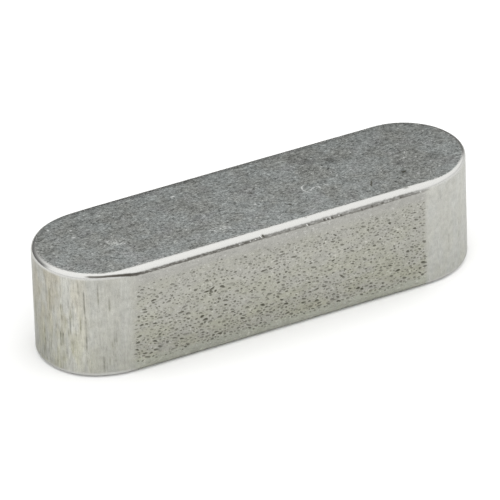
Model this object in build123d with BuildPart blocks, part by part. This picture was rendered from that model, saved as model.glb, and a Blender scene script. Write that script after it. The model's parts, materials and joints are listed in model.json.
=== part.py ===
from build123d import *
import math
import os

# Parallel key, form A: a length of bright drawn key steel with both ends milled
# to half rounds.  It fits half in a shaft keyway and half in a hub keyway.
#
# Frame: origin at the middle of the bottom seat, +X along the key, +Y across
# its width, +Z up through its height.  Millimetres.

# ---- driving dimensions ----------------------------------------------------
width = 8.0            # across the two flanks that carry the torque
height = 7.0           # bottom seat to top face
length = 28.0          # overall, over the two round ends
corner_radius = 0.4    # the four long corners, left rounded by the drawing die
edge_break = 0.3       # the milled ends' top and bottom rims, softened by tumbling

end_radius = width / 2              # each end is a full half round
straight = length - width           # flank length between the two end rounds

# ---- the key ---------------------------------------------------------------
with BuildPart() as parallel_key:
    # plan outline: a full-radius slot shape, standing straight up from the seat
    with BuildSketch(Plane.XY):
        SlotOverall(length, width)
    extrude(amount=height)

    # the sharp rims that milling leaves are broken all the way round
    rims = (
        parallel_key.edges().group_by(Axis.Z)[0]
        + parallel_key.edges().group_by(Axis.Z)[-1]
    )
    fillet(rims, radius=edge_break)

    # the drawn bar that the key is cut from: a rounded rectangle, whose larger
    # corner radius runs the full length and fades out on the round ends
    with BuildSketch(Plane.YZ.offset(-length / 2)):
        with Locations((0, height / 2)):
            RectangleRounded(width, height, corner_radius)
    extrude(amount=length, mode=Mode.INTERSECT)

parallel_key.part.label = "parallel_key"

# the plan area, less what the corner rounding takes away, gives the volume
plan_area = straight * width + math.pi * end_radius ** 2
print("plan area %.3f mm2, volume %.3f mm3" % (plan_area, parallel_key.part.volume))

os.makedirs("parts", exist_ok=True)
export_step(parallel_key.part, "parts/parallel_key.step")
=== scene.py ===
import json
import math

import bpy
import numpy as np
from mathutils import Matrix, Vector
from mathutils.geometry import delaunay_2d_cdt

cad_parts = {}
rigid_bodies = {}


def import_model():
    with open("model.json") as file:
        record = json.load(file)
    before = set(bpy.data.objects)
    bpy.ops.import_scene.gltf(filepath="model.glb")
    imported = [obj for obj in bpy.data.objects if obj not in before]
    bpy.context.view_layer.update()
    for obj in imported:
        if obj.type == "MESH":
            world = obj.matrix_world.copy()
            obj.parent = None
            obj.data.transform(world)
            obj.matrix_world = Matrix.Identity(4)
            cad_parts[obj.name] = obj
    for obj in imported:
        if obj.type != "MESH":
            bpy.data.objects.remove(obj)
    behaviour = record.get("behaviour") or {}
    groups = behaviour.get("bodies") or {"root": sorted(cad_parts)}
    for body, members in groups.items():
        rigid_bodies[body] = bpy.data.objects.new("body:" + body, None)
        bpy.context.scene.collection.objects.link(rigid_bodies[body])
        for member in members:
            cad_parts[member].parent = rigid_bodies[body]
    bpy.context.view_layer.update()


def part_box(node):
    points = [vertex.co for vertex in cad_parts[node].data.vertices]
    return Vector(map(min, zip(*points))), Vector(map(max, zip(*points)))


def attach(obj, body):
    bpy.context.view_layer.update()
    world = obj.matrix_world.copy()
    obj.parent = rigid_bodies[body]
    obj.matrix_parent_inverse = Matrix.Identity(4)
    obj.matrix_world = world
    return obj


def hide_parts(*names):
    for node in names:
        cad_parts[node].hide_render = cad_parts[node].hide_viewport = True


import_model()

# ---------------------------------------------------------------------------
# sizes, in millimetres in the row frame; the overall ones come from the frame
# ---------------------------------------------------------------------------
MM = 0.001
k_lo, k_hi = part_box("parallel_key")
HX = min(k_hi.x, -k_lo.x) / MM          # half length
HY = min(k_hi.y, -k_lo.y) / MM          # half width, and the end radius
Z0 = k_lo.z / MM
HT = (k_hi.z - k_lo.z) / MM             # height
CX = HX - HY                            # x of the round ends' centres
RB = 0.40                               # drawn long corners
RE = 0.30                               # tumbled rims of the round ends

NX = 230                                # steps along a flank
K = 280                                 # steps round an end
NZ = 42                                 # steps up an end
THETA = [0.0, 11.0, 22.0, 33.0, 45.0, 57.0, 68.0, 79.0, 90.0]

ARC = math.pi * HY                      # way round one end
AROUND = 4 * CX + 2 * ARC               # way round the key
FRONT, RIGHT, BACK, LEFT = 0.0, 2 * CX, 2 * CX + ARC, 4 * CX + ARC


def ends_and_middle():
    """Where each column stands: its foot on the key's axis, the way it faces, and how far
    it is past the place where flank and end meet."""
    xs = np.linspace(-CX, CX, NX + 1)
    a = np.linspace(-math.pi / 2, math.pi / 2, K + 1)[1:-1]
    zero = np.zeros_like(xs)
    foot = np.vstack([np.stack([xs, zero], 1), np.tile([CX, 0.0], (K - 1, 1)),
                      np.stack([xs[::-1], zero], 1), np.tile([-CX, 0.0], (K - 1, 1))])
    arc = np.stack([np.cos(a), np.sin(a)], 1)
    way = np.vstack([np.tile([0.0, -1.0], (NX + 1, 1)), arc, np.tile([0.0, 1.0], (NX + 1, 1)), -arc])
    past = (math.pi / 2 - np.abs(a)) * HY
    return foot, way, np.concatenate([np.abs(xs) - CX, past, np.abs(xs) - CX, past])


def rim_radius(past):
    """The drawn corner's radius runs out into the smaller tumbled rim of the end."""
    t = np.clip((past + 1.0) / 2.95, 0, 1)
    return RB + (RE - RB) * t * t * (3 - 2 * t)


FOOT, WAY, PAST = ends_and_middle()
RIM = rim_radius(PAST)


def ring_points(theta, top):
    """One closed line round the key, anticlockwise seen from above, at one angle of the
    rounding: 0 is the edge of the broad face, 90 the edge of the flank."""
    t = math.radians(theta)
    p = FOOT + WAY * (HY - RIM * (1 - math.sin(t)))[:, None]
    d = RIM * (1 - math.cos(t))
    return np.column_stack([p, HT - d if top else d])


def ring_normals(theta, top):
    t = math.radians(theta)
    return np.column_stack([WAY * math.sin(t), np.full(len(WAY), math.cos(t) * (1 if top else -1))])


# the outline is a little under size here and there, most where the milled ends start:
# inset in mm, by way along the outline
INSET = (
    [(FRONT + CX + x, e) for x, e in ((-10, 0.024), (-9, 0.011), (-7.5, 0.001), (-4, 0.006), (0, 0.018), (4, 0.030),
                                      (7.5, 0.040), (9, 0.050))]
    + [(RIGHT + ARC * (q + 90) / 180, e) for q, e in ((-90, 0.077), (-75, 0.140), (-60, 0.125), (-45, 0.128),
                                                      (-30, 0.100), (-15, 0.030), (0, 0), (15, 0), (30, 0.0),
                                                      (45, 0.036), (60, 0.052), (75, 0.083))]
    + [(BACK + CX - x, e) for x, e in ((10, 0.072), (9, 0.052), (7.5, 0.044), (4, 0.038), (0, 0.034), (-4, 0.030),
                                       (-7.5, 0.030), (-9, 0.034))]
    + [(LEFT + ARC * (q - 90) / 180, e) for q, e in ((90, 0.100), (105, 0.158), (120, 0.110), (135, 0.086),
                                                     (150, 0.052), (165, 0), (180, 0), (195, 0), (210, 0),
                                                     (225, 0.028), (240, 0.082), (255, 0.119))]
)
IN_S = np.arange(4096) / 4096 * AROUND
IN_E = np.interp(IN_S, [s for s, e in INSET], [e for s, e in INSET], period=AROUND)
spec = np.fft.rfft(IN_E)
spec *= np.exp(-0.5 * (2 * math.pi * np.arange(len(spec)) * 0.40 / AROUND) ** 2)
IN_E = np.maximum(np.fft.irfft(spec, 4096), 0.0)
IN_D = np.gradient(IN_E, IN_S)


def along_outline(p):
    """For points of the nominal key: outward direction, distance out, inset and its slope."""
    foot = np.stack([np.clip(p[:, 0], -CX, CX), np.zeros(len(p))], 1)
    q = p[:, :2] - foot
    r = np.linalg.norm(q, axis=1)
    m = q / np.maximum(r, 1e-9)[:, None]
    ang = np.arctan2(q[:, 1], q[:, 0])
    s = np.where(p[:, 0] > CX, RIGHT + (ang + math.pi / 2) * HY,
                 np.where(p[:, 0] < -CX, LEFT + ((ang % (2 * math.pi)) - math.pi / 2) * HY,
                          np.where(q[:, 1] < 0, FRONT + p[:, 0] + CX, BACK + CX - p[:, 0])))
    return foot, m, r, np.interp(s, IN_S, IN_E, period=AROUND), np.interp(s, IN_S, IN_D, period=AROUND)


# ---------------------------------------------------------------------------
# smooth seeded noise, for shapes
# ---------------------------------------------------------------------------
def lattice(seed, shape):
    return np.random.default_rng(seed).uniform(-1, 1, shape)


def noise2(u, v, su, sv, seed):
    """Value noise on a lattice of su by sv mm, from -1 to 1."""
    g = lattice(seed, (257, 257))
    x, y = np.asarray(u) / su + 97.3, np.asarray(v) / sv + 61.7
    ix, iy = np.floor(x).astype(int), np.floor(y).astype(int)
    fx, fy = x - ix, y - iy
    fx, fy = fx * fx * (3 - 2 * fx), fy * fy * (3 - 2 * fy)
    ix, iy = ix % 256, iy % 256
    a, b = g[ix, iy], g[ix + 1, iy]
    c, d = g[ix, iy + 1], g[ix + 1, iy + 1]
    return (a * (1 - fx) + b * fx) * (1 - fy) + (c * (1 - fx) + d * fx) * fy


def smooth(x, a, b):
    t = np.clip((np.asarray(x, float) - a) / (b - a), 0, 1)
    return t * t * (3 - 2 * t)


# ---------------------------------------------------------------------------
# the mesh is gathered here
# ---------------------------------------------------------------------------
class Gather:
    def __init__(self):
        self.co, self.no, self.pit, self.mark, self.plain = [], [], [], [], []
        self.n = 0
        self.faces = []          # index tuples
        self.fnorm = []          # None: corner normals come from the points, else own array

    def points(self, co, no, pit=None, mark=None, plain=None):
        """plain is where the points would be without wear."""
        co = np.asarray(co, float).reshape(-1, 3)
        no = np.asarray(no, float).reshape(-1, 3)
        k = len(co)
        self.co.append(co)
        self.plain.append(co if plain is None else plain)
        self.no.append(no)
        self.pit.append(np.zeros(k) if pit is None else np.asarray(pit, float))
        self.mark.append(np.zeros(k) if mark is None else np.asarray(mark, float))
        ids = np.arange(self.n, self.n + k)
        self.n += k
        return ids

    def quad_grid(self, rows, closed=False):
        """Quads between rows of equal length; rows run downwards, columns anticlockwise."""
        for r0, r1 in zip(rows[:-1], rows[1:]):
            m = len(r0)
            for j in range(m if closed else m - 1):
                k = (j + 1) % m
                self.faces.append((int(r0[j]), int(r1[j]), int(r1[k]), int(r0[k])))
                self.fnorm.append(None)


G = Gather()


# ---- marks: pits and dents are small bowls cut into a flat face -------------
def bowl_outline(c, a, b, ang, n, r, wob):
    """A rough closed outline round c: half length a along ang, half height b."""
    t = np.linspace(0, 2 * np.pi, n, endpoint=False) + r.uniform(0, 1)
    k1, k2 = r.uniform(0, 2 * np.pi, 2)
    rad = 1 + wob * np.sin(2 * t + k1) + wob * np.sin(3 * t + k2) + r.uniform(-wob, wob, n) * 0.5
    x, y = a * rad * np.cos(t), b * rad * np.sin(t)
    ca, sa = math.cos(ang), math.sin(ang)
    return np.stack([c[0] + ca * x - sa * y, c[1] + sa * x + ca * y], 1)


class Groove:
    """A scratch: a shallow V along a path, pointed at both ends."""

    def __init__(self, path, half, depth, dark, light):
        q = np.array(path, float)
        d = np.gradient(q, axis=0)
        d /= np.linalg.norm(d, axis=1, keepdims=True)
        side = np.stack([-d[:, 1], d[:, 0]], 1)
        m = len(q)
        w = half * np.sqrt(np.clip(1 - (np.linspace(-1, 1, m)) ** 4, 0.0, 1))[1:-1, None]
        self.mid = q[1:-1]
        self.outline = np.vstack([q[:1], self.mid - side[1:-1] * w, q[-1:], (self.mid + side[1:-1] * w)[::-1]])
        self.path, self.half, self.depth, self.dark, self.light = q, half, depth, dark, light

    def fill(self, rim, lift, normal):
        k = len(self.mid)
        c = G.points(lift(self.mid, np.full(k, self.depth)), np.tile(normal, (k, 1)),
                     np.full(k, self.dark), np.full(k, self.light))
        right, left = rim[1:k + 1], rim[k + 2:][::-1]
        parts = [(rim[0], right[0], c[0]), (rim[0], c[0], left[0]),
                 (rim[k + 1], left[-1], c[-1]), (rim[k + 1], c[-1], right[-1])]
        for i in range(k - 1):
            parts.append((right[i], right[i + 1], c[i + 1], c[i]))
            parts.append((c[i], c[i + 1], left[i + 1], left[i]))
        return [tuple(int(v) for v in f) for f in parts]


def curve(points, step=0.06):
    """A smooth line through a few points."""
    p = np.array(points, float)
    if len(p) == 2:
        n = max(3, int(np.hypot(*(p[1] - p[0])) / step))
        return [tuple(p[0] + (p[1] - p[0]) * t) for t in np.linspace(0, 1, n + 1)]
    e = np.vstack([2 * p[0] - p[1], p, 2 * p[-1] - p[-2]])
    out = []
    for i in range(len(p) - 1):
        a, b, c, d = e[i:i + 4]
        n = max(2, int(np.hypot(*(c - b)) / step))
        for t in np.linspace(0, 1, n, endpoint=False):
            out.append(tuple(0.5 * (2 * b + (c - a) * t + (2 * a - 5 * b + 4 * c - d) * t * t
                                    + (3 * b - a - 3 * c + d) * t ** 3)))
    out.append(tuple(p[-1]))
    return out


class Mask:
    """Keeps bowls apart: a fine raster of one flat face."""

    def __init__(self, u0, u1, v0, v1, res=130):
        self.u0, self.v0, self.res = u0, v0, res
        self.g = np.zeros((int((v1 - v0) * res) + 2, int((u1 - u0) * res) + 2), bool)

    def window(self, poly, grow):
        lo = np.floor((poly.min(0) - grow - [self.u0, self.v0]) * self.res).astype(int)
        hi = np.ceil((poly.max(0) + grow - [self.u0, self.v0]) * self.res).astype(int) + 1
        if lo.min() < 0 or hi[0] >= self.g.shape[1] or hi[1] >= self.g.shape[0]:
            return None
        yy, xx = np.mgrid[lo[1]:hi[1], lo[0]:hi[0]]
        q = np.stack([xx / self.res + self.u0, yy / self.res + self.v0], -1)
        c = poly.mean(0)
        g = c + (poly - c) * (1 + grow / np.maximum(np.linalg.norm(poly - c, axis=1), 1e-6))[:, None]
        inside = np.zeros(xx.shape, bool)
        for p0, p1 in zip(g, np.roll(g, -1, 0)):
            cond = (p0[1] > q[..., 1]) != (p1[1] > q[..., 1])
            with np.errstate(divide="ignore", invalid="ignore"):
                xi = (p1[0] - p0[0]) * (q[..., 1] - p0[1]) / (p1[1] - p0[1]) + p0[0]
            inside ^= cond & (q[..., 0] < xi)
        return (slice(lo[1], hi[1]), slice(lo[0], hi[0])), inside

    def block(self, path, r):
        for q in path:
            lo = np.floor((np.array(q) - r - [self.u0, self.v0]) * self.res).astype(int)
            hi = np.ceil((np.array(q) + r - [self.u0, self.v0]) * self.res).astype(int) + 1
            self.g[lo[1]:hi[1], lo[0]:hi[0]] = True

    def take(self, poly, grow):
        w = self.window(poly, grow)
        if w is None:
            return False
        sl, ins = w
        if (self.g[sl] & ins).any() or not ins.any():
            return False
        self.g[sl] |= ins
        return True


def in_poly(pts, poly):
    ins = np.zeros(len(pts), bool)
    for p0, p1 in zip(poly, np.roll(poly, -1, 0)):
        cond = (p0[1] > pts[:, 1]) != (p1[1] > pts[:, 1])
        with np.errstate(divide="ignore", invalid="ignore"):
            xi = (p1[0] - p0[0]) * (pts[:, 1] - p0[1]) / (p1[1] - p0[1]) + p0[0]
        ins ^= cond & (pts[:, 0] < xi)
    return ins


def flat_patch(border_ids, border_uv, bowls, lift, normal, grooves=()):
    """Fills a flat face between its border and the bowls' rims, and makes the bowls.

    bowls: (outline, depth, shift, dark, light); lift turns (u, v, depth) into 3-D;
    normal is the face's outward normal.  border_uv runs anticlockwise seen from outside."""
    normal = np.asarray(normal, float)
    uv = [np.asarray(border_uv, float)]
    nb = len(border_uv)
    edges = [(i, (i + 1) % nb) for i in range(nb)]
    start, spans = nb, []
    outlines = [b[0] for b in bowls] + [g.outline for g in grooves]
    for poly in outlines:
        n = len(poly)
        spans.append((start, n))
        edges += [(start + i, start + (i + 1) % n) for i in range(n)]
        uv.append(poly)
        start += n
    uv = np.vstack(uv)
    rim_ids = G.points(lift(uv[nb:], np.zeros(len(uv) - nb)), np.tile(normal, (len(uv) - nb, 1)))
    ids = np.concatenate([border_ids, rim_ids])
    out = delaunay_2d_cdt([Vector(p) for p in uv], edges, [], 1, 1e-7, True)
    tri_co = np.array([tuple(p) for p in out[0]])
    back = [o[0] if o else -1 for o in out[3]]
    if min(back) < 0:
        raise RuntimeError("a flat face's outlines cross")
    back = np.array(back)
    tris = np.array([list(f) for f in out[2]])
    owner = np.full(len(uv), -1)
    for b, (s, n) in enumerate(spans):
        owner[s:s + n] = b
    src = back[tris]
    own = owner[src]
    same = (own[:, 0] >= 0) & (own[:, 0] == own[:, 1]) & (own[:, 1] == own[:, 2])
    keep = np.ones(len(tris), bool)
    cent = uv[src].mean(1)
    for b in np.unique(own[same][:, 0]) if same.any() else []:
        sel = np.nonzero(same & (own[:, 0] == b))[0]
        keep[sel[in_poly(cent[sel], outlines[b])]] = False
    src = src[keep]
    # each triangle anticlockwise in (u, v)
    a, b_, c = uv[src[:, 0]], uv[src[:, 1]], uv[src[:, 2]]
    area = (b_[:, 0] - a[:, 0]) * (c[:, 1] - a[:, 1]) - (b_[:, 1] - a[:, 1]) * (c[:, 0] - a[:, 0])
    src[area < 0] = src[area < 0][:, ::-1]
    flat = np.tile(normal, (3, 1))
    for f in src:
        G.faces.append(tuple(int(ids[i]) for i in f))
        G.fnorm.append(flat)
    for g, (s, n) in zip(grooves, spans[len(bowls):]):
        BOWL_FACES.append((g.fill(ids[s:s + n], lift, normal), set(int(i) for i in ids[s:s + n]), normal,
                           g.dark * 0.7, g.light * 0.7))
    # the bowls
    for (poly, depth, shift, dark, light), (s, n) in zip(bowls, spans):
        rim = ids[s:s + n]
        c = poly.mean(0)
        levels = [(0.60, 0.88)] if n >= 9 else []
        prev_ids, prev_co = rim, lift(poly, np.zeros(n))
        parts = []
        for f, dd in levels:
            q = c + shift * (1 - f) + (poly - c) * f
            co = lift(q, np.full(n, depth * dd))
            pid = G.points(co, np.tile(normal, (n, 1)), np.full(n, dark), np.full(n, light))
            for i in range(n):
                j = (i + 1) % n
                parts.append((int(prev_ids[i]), int(prev_ids[j]), int(pid[j]), int(pid[i])))
            prev_ids, prev_co = pid, co
        mid = G.points(lift((c + shift)[None], np.array([depth])), normal[None], [dark], [light])[0]
        for i in range(n):
            j = (i + 1) % n
            parts.append((int(prev_ids[i]), int(prev_ids[j]), int(mid)))
        BOWL_FACES.append((parts, set(int(i) for i in rim), normal, dark * 0.62, light * 0.75))


BOWL_FACES = []


# ---------------------------------------------------------------------------
# 1. rounded long corners, rims and ends: rows of points from top to bottom
# ---------------------------------------------------------------------------
def corner_marks(p, theta, top):
    """Small nicks and unevenness on the long corners and rims, always inwards, and how dark."""
    s, t = p[:, 0], np.where(p[:, 1] > 0, 1.0, 0.0) + (2.0 if top else 0.0)
    d = math.radians(theta) * RB
    out = 0.0006 * (1 + noise2(s, t * 3.1 + d * 2, 0.35, 0.15, 11)) + 0.0012 * (1 + noise2(s, t * 5.7 + d, 1.7, 0.4, 12))
    out = out * float(smooth(theta, 0, 20) * (1 - smooth(theta, 75, 90)))
    dark = np.zeros_like(s)
    for x0, th, wx, wt, dep, k, side, up in NICKS:
        if up != top:
            continue
        near = np.exp(-((s - x0) / wx) ** 2 - (math.radians(theta - th) * RB / wt) ** 2)
        near = near * ((p[:, 1] > 0) == (side > 0)) * (np.abs(s) < CX + 0.5)
        out = out + dep * near
        dark = np.maximum(dark, k * near)
    return out * (0.0 if theta in (0.0, 90.0) else 1.0), np.clip(dark, 0, 1)


NICKS = [
    # x, angle round the corner, width along x, width round the corner, depth, dark, side, top
    (-1.17, 72, 0.11, 0.09, 0.045, 0.75, -1, True),
    (1.80, 14, 0.12, 0.05, 0.012, 0.22, -1, True),
    (8.50, 16, 0.14, 0.05, 0.016, 0.30, -1, True),
    (6.30, 74, 0.30, 0.06, 0.014, 0.35, -1, True),
    (2.86, 74, 0.14, 0.06, 0.018, 0.45, -1, True),
    (-2.30, 76, 0.16, 0.05, 0.014, 0.45, -1, True),
    (8.06, 76, 0.12, 0.06, 0.018, 0.45, -1, True),
    (-6.4, 30, 0.08, 0.05, 0.012, 0.0, -1, True),
    (-8.2, 60, 0.12, 0.06, 0.035, 0.3, 1, True),
    (-2.7, 25, 0.10, 0.06, 0.030, 0.3, 1, True),
    (4.4, 55, 0.14, 0.07, 0.040, 0.4, 1, True),
    (7.9, 28, 0.09, 0.05, 0.030, 0.2, 1, True),
    (-5.1, 50, 0.12, 0.06, 0.035, 0.3, -1, False),
    (3.3, 35, 0.12, 0.06, 0.035, 0.3, -1, False),
    (6.2, 60, 0.10, 0.06, 0.035, 0.3, 1, False),
    (-1.2, 40, 0.12, 0.06, 0.030, 0.3, 1, False),
]

rings_top, rings_bot = [], []
for top, angles in ((True, THETA), (False, THETA[::-1])):
    for theta in angles:
        p = ring_points(theta, top)
        n = ring_normals(theta, top)
        dsp, dark = corner_marks(p, theta, top)
        (rings_top if top else rings_bot).append(G.points(p - n * dsp[:, None], n, dark, plain=p))
G.quad_grid(rings_top, closed=True)
G.quad_grid(rings_bot, closed=True)


def arc_ids(ring, right):
    """The points of one end on a ring, both junctions included."""
    if right:
        return ring[NX:NX + K + 1]
    return np.concatenate([ring[2 * NX + K:], ring[:1]])


# dark draw marks on the ends: place round the arc from the key's axis, top, foot, strength
STREAKS_LEFT = [
    (3.20, 5.64, 6.73, 0.70), (3.54, 4.27, 5.94, 0.85), (3.58, 1.77, 4.28, 0.75), (4.38, 5.01, 6.46, 0.85),
    (5.05, 4.54, 5.57, 0.55), (2.62, 2.86, 4.25, 0.85), (2.04, 3.70, 4.80, 0.70), (1.92, 1.91, 2.89, 1.00),
    (2.12, 1.96, 2.94, 1.00), (2.46, 2.74, 3.16, 0.65), (3.27, 3.15, 3.83, 0.90), (2.65, 1.70, 2.46, 0.55),
    (4.57, 0.36, 1.45, 0.80), (4.31, 3.80, 4.64, 0.35), (0.53, 1.65, 2.70, 0.70), (0.11, 4.62, 5.24, 0.60),
    (1.14, 3.95, 4.64, 0.50), (1.45, 4.57, 6.02, 0.45), (2.06, 5.21, 5.97, 0.40), (0.60, 0.93, 2.15, 0.60),
    (2.56, 4.43, 5.28, 0.40), (5.28, 2.29, 2.96, 0.30), (5.89, 5.00, 5.82, 0.30), (5.64, 5.56, 6.05, 0.35),
]
STREAKS_RIGHT = [
    (5.57, 5.51, 6.38, 0.32), (4.96, 1.75, 3.01, 0.40), (3.85, 3.03, 3.65, 0.32), (3.89, 2.24, 2.71, 0.40),
    (5.27, 3.32, 3.95, 0.22),
]


def streaks(right):
    """The listed marks, then more at random: on the seen half finer, on the far half alike."""
    r = np.random.default_rng(61 if right else 60)
    out = [(-q, z0, z1, k * 0.9, 0.042) for q, z0, z1, k in (STREAKS_RIGHT if right else STREAKS_LEFT)]
    lim = HY * math.pi / 2
    for _ in range(80 if right else 380):
        q = r.uniform(-lim + 0.7, lim - 0.7)
        near = math.exp(-((q + 1.6) / 1.3) ** 2) + 0.8 * math.exp(-((q - 2.6) / 1.8) ** 2)
        if r.uniform() > 0.16 + 0.84 * near:
            continue
        zc, ln = r.uniform(0.7, 6.2), r.lognormal(math.log(0.58), 0.50)
        k = r.uniform(0.10, 0.50) * (0.40 if right else 1.0)
        if q > 0.3 and r.uniform() < 0.16:
            k = r.uniform(0.4, 0.9) * (0.4 if right else 1.0)
        out.append((q, zc - ln / 2, zc + ln / 2, k, r.uniform(0.024, 0.044)))
    return out


MARKS = {True: streaks(True), False: streaks(False)}


def streak_depth(s, z, right):
    """Milling and drawing streaks up the round ends: long thin grooves, in mm, and how dark."""
    sd = 40 if right else 20
    w = 0.0
    for i, (su, sv, a) in enumerate([(0.12, 3.2, 0.0012), (0.20, 2.0, 0.0016), (0.60, 5.0, 0.0030)]):
        w = w + a * (0.5 + 0.5 * noise2(s, z, su, sv, sd + i))
    dark = np.zeros_like(s)
    for q, z0, z1, k, wd in MARKS[right]:
        g = np.exp(-((s - q) / wd) ** 2) * smooth(z, z0 - 0.05, z0 + 0.12) * (1 - smooth(z, z1 - 0.12, z1 + 0.05))
        g = g * k * np.clip(0.62 + 0.62 * noise2(s, z, 0.5, 0.13, sd + 9), 0.05, 1.0)
        dark = np.maximum(dark, g)
    return w + dark * 0.012, np.clip(dark, 0, 1)


end_grids = []
for right in (True, False):
    rows = [arc_ids(rings_top[-1], right)]
    a = np.linspace(-math.pi / 2, math.pi / 2, K + 1)
    s = a * HY
    rim = rim_radius(HY * math.pi / 2 - np.abs(s))
    s_arc = s if right else -s                          # the front is negative at both ends
    if not right:
        a = a + math.pi
    nx, ny = np.cos(a), np.sin(a)
    cx = CX if right else -CX
    n = np.stack([nx, ny, np.zeros_like(a)], 1)
    for j in range(1, NZ):
        z = (HT - rim) + (2 * rim - HT) * j / NZ
        fade = smooth(np.minimum(z - rim, HT - rim - z), 0.0, 0.30) * smooth(HY * math.pi / 2 - np.abs(s), 0.0, 0.35)
        dsp, dark = streak_depth(s_arc, z, right)
        dsp, dark = dsp * fade, dark * fade
        plain = np.stack([cx + HY * nx, HY * ny, z], 1)
        rows.append(G.points(plain - n * dsp[:, None], n, dark, plain=plain))
    rows.append(arc_ids(rings_bot[0], right))
    G.quad_grid(rows)
    end_grids.append(rows)


# ---------------------------------------------------------------------------
# 2. the two drawn flanks, with the pits that the drawing left
# ---------------------------------------------------------------------------
def flank_pits(seed, hand):
    r = np.random.default_rng(seed)
    m = Mask(-CX, CX, RB, HT - RB)
    bowls = []
    u_lo, u_hi, v_lo, v_hi = -9.86, 9.62, 0.52, 6.00

    def put(c, a, b, ang, depth, dark, light=0.0, wob=0.16, gap=0.012):
        n = 6 if a < 0.075 else (7 if a < 0.125 else (9 if a < 0.16 else 12))
        poly = bowl_outline(c, a, b, ang, n, r, wob)
        if not m.take(poly, gap):
            return False
        # the upper wall of a drawn pit is the steeper
        bowls.append((poly, depth, np.array([0.0, 0.22 * b]), dark, light))
        return True

    for h in hand:
        put(*h)
    tries = 0
    want = 1680
    while len(bowls) < want and tries < 120000:
        tries += 1
        u = r.uniform(u_lo, u_hi)
        v = r.uniform(v_lo, v_hi)
        # the band of pits has a wandering top and bottom edge, thins out upwards,
        # and comes in drifts
        top = 5.66 + 0.24 * float(noise2(u, 0, 1.1, 1, seed + 1)) + 0.14 * float(noise2(u, 0, 0.35, 1, seed + 2))
        bot = 0.74 + 0.13 * float(noise2(u, 0, 0.8, 1, seed + 3))
        e = float(smooth(v, bot - 0.20, bot + 0.12)) * (1 - 0.9 * float(smooth(v, top - 0.30, top + 0.25)))
        start = -9.90 + 0.32 * float(smooth(v, 2.4, 4.6)) + 0.10 * float(noise2(0, v, 1, 0.5, seed + 5))
        e *= float(smooth(u, start, start + 0.25)) * (1 - float(smooth(u, u_hi - 0.22, u_hi)))
        drift = 0.72 + 0.28 * float(noise2(u, v, 0.9, 0.55, seed + 4))
        low = 1 - (v - 1.0) / 5.0
        drift *= 0.72 + 0.28 * low + 0.06 * (u / 10.0)
        if r.uniform() > e * drift:
            continue
        size = r.lognormal(math.log(0.062 + 0.018 * low), 0.36)
        if v > 5.7:
            size = min(size, 0.062)
        if v < 0.76:
            size = min(size, 0.066)
        asp = r.uniform(1.1, 2.5)
        a = min(size * math.sqrt(asp), 0.22)
        b = min(max(size / math.sqrt(asp), 0.034), 0.078)
        ang = math.radians(r.normal(-9, 11))
        depth = 0.34 * b + r.uniform(0.004, 0.014)
        dark = float(np.clip(r.normal(0.58 + 0.18 * low, 0.20), 0.15, 1.0))
        put((u, v), a, b, ang, depth, dark)
    return bowls


HAND_FRONT = [
    # a cluster, a large round pit, and a few long ones
    ((-5.03, 4.12), 0.13, 0.052, 0.0, 0.040, 1.0),
    ((-4.63, 4.24), 0.17, 0.050, 0.35, 0.040, 1.0),
    ((-4.73, 4.07), 0.09, 0.052, 0.9, 0.040, 1.0),
    ((-4.80, 3.91), 0.08, 0.050, -0.2, 0.035, 1.0),
    ((-4.63, 3.97), 0.06, 0.046, 0.2, 0.035, 0.9),
    ((-4.42, 4.00), 0.085, 0.072, 0.3, 0.040, 1.0),
    ((-4.45, 4.82), 0.085, 0.062, 0.4, 0.036, 0.9),
    ((-5.36, 2.52), 0.14, 0.085, 0.0, 0.046, 1.0),
    ((-8.42, 2.98), 0.15, 0.075, -0.1, 0.040, 0.9),
    ((-3.95, 6.00), 0.09, 0.055, -0.3, 0.030, 0.8),
    ((8.80, 5.32), 0.20, 0.050, -0.05, 0.034, 0.8),
    ((9.15, 2.72), 0.12, 0.070, -0.4, 0.044, 1.0),
    ((2.55, 4.60), 0.11, 0.065, 0.1, 0.040, 0.9),
    ((6.30, 4.55), 0.19, 0.050, -0.02, 0.034, 0.8),
    ((4.40, 2.05), 0.20, 0.040, -0.05, 0.028, 0.7),
    ((-0.85, 1.42), 0.14, 0.060, -0.5, 0.036, 0.8),
]
HAND_BACK = [
    ((3.9, 4.4), 0.13, 0.070, 0.5, 0.040, 0.9),
    ((4.2, 4.2), 0.10, 0.060, -0.7, 0.040, 0.9),
    ((-6.6, 2.6), 0.15, 0.080, 0.1, 0.045, 1.0),
    ((7.2, 1.9), 0.18, 0.050, 0.0, 0.034, 0.8),
    ((-1.4, 5.1), 0.11, 0.060, 0.2, 0.036, 0.9),
]

right_rows, left_rows = end_grids
# front flank: u = x, v = z, seen from outside u runs right
front_border = (
    [int(i) for i in rings_bot[0][:NX + 1]]
    + [int(r[0]) for r in right_rows[-2:0:-1]]
    + [int(i) for i in rings_top[-1][:NX + 1][::-1]]
    + [int(r[-1]) for r in left_rows[1:-1]]
)
back_border = (
    [int(i) for i in rings_bot[0][NX + K:2 * NX + K + 1]]
    + [int(r[0]) for r in left_rows[-2:0:-1]]
    + [int(i) for i in rings_top[-1][NX + K:2 * NX + K + 1][::-1]]
    + [int(r[-1]) for r in right_rows[1:-1]]
)
all_co = np.vstack(G.co)
fb = all_co[front_border]
flat_patch(np.array(front_border), fb[:, [0, 2]], flank_pits(101, HAND_FRONT),
           lambda q, d: np.stack([q[:, 0], -HY + d, q[:, 1]], 1), (0, -1, 0))
bb = all_co[back_border]
flat_patch(np.array(back_border), np.stack([-bb[:, 0], bb[:, 2]], 1), flank_pits(202, HAND_BACK),
           lambda q, d: np.stack([-q[:, 0], HY - d, q[:, 1]], 1), (0, 1, 0))


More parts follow.
